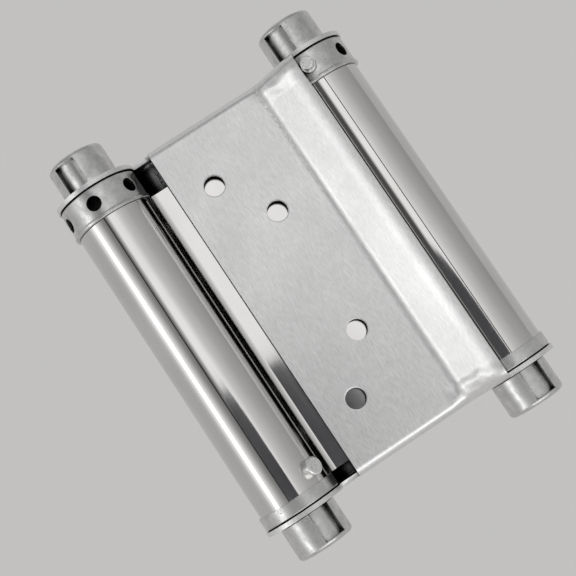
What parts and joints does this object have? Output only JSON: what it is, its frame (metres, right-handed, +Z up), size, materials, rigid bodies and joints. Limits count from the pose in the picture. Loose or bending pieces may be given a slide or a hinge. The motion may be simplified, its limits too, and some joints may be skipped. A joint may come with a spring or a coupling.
{
  "type": "double action spring hinge",
  "caption": "Double action spring hinge: brushed leaves either side of a polished web rolled into sprung barrels, with drilled adjusting rings and end knobs.",
  "frame": {"origin": "middle of the hinge, half way between the two barrels and half way up them", "axes": "+Z up the barrels to the adjusting rings, +X from the left barrel to the right one, front leaf facing -Y"},
  "size_m": [0.0882, 0.032, 0.1196],
  "materials": {
    "brushed_sheet": "stainless sheet, brushed along the barrels",
    "polished_sheet": "stainless sheet, mirror polished",
    "cast_zinc": "nickel plated casting, satin with fine pits",
    "steel_rod": "bright cut steel",
    "spring_wire": "oiled spring steel"
  },
  "bodies": {
    "frame_side": {"back_leaf": "brushed_sheet", "left_spindle": "steel_rod", "left_top_knob": "cast_zinc", "left_bottom_knob": "cast_zinc", "left_top_washer": "steel_rod", "left_bottom_washer": "steel_rod"},
    "web": {"middle_web": "polished_sheet", "left_anchor_plug": "cast_zinc", "left_anchor_pin": "steel_rod", "left_torsion_spring": "spring_wire", "right_anchor_plug": "cast_zinc", "right_anchor_pin": "steel_rod", "right_torsion_spring": "spring_wire"},
    "door_side": {"front_leaf": "brushed_sheet", "right_spindle": "steel_rod", "right_top_knob": "cast_zinc", "right_bottom_knob": "cast_zinc", "right_top_washer": "steel_rod", "right_bottom_washer": "steel_rod"},
    "left_ring": {"left_adjusting_ring": "cast_zinc"},
    "right_ring": {"right_adjusting_ring": "cast_zinc"},
    "left_pin": {"left_tension_pin": "steel_rod"},
    "right_pin": {"right_tension_pin": "steel_rod"}
  },
  "joints": [
    {"name": "left_barrel_swing", "type": "hinge", "parent": "frame_side", "child": "web", "pos_m": [-0.0327, 0, 0], "axis": [0, 0, -1], "range_deg": [0, 180], "stiffness_Nm_per_rad": 0.9, "springref_deg": -40.11, "deforming": ["left_torsion_spring"]},
    {"name": "right_barrel_swing", "type": "hinge", "parent": "web", "child": "door_side", "pos_m": [0.0327, 0, 0], "axis": [0, 0, 1], "range_deg": [0, 180], "stiffness_Nm_per_rad": 0.9, "springref_deg": -40.11, "deforming": ["right_torsion_spring"]},
    {"name": "left_ring_turn", "type": "hinge", "parent": "frame_side", "child": "left_ring", "pos_m": [-0.0327, 0, 0], "axis": [0, 0, 1], "range_deg": [0, 120], "stiffness_Nm_per_rad": 0.9, "springref_deg": -40.11},
    {"name": "right_ring_turn", "type": "hinge", "parent": "door_side", "child": "right_ring", "pos_m": [0.0327, 0, 0], "axis": [0, 0, 1], "range_deg": [0, 120], "stiffness_Nm_per_rad": 0.9, "springref_deg": -40.11},
    {"name": "left_pin_slide", "type": "slide", "parent": "left_ring", "child": "left_pin", "axis": [0.1851, 0.9827, 0], "range_m": [0, 0.009]},
    {"name": "right_pin_slide", "type": "slide", "parent": "right_ring", "child": "right_pin", "axis": [-0.1851, -0.9827, 0], "range_m": [0, 0.009]}
  ]
}
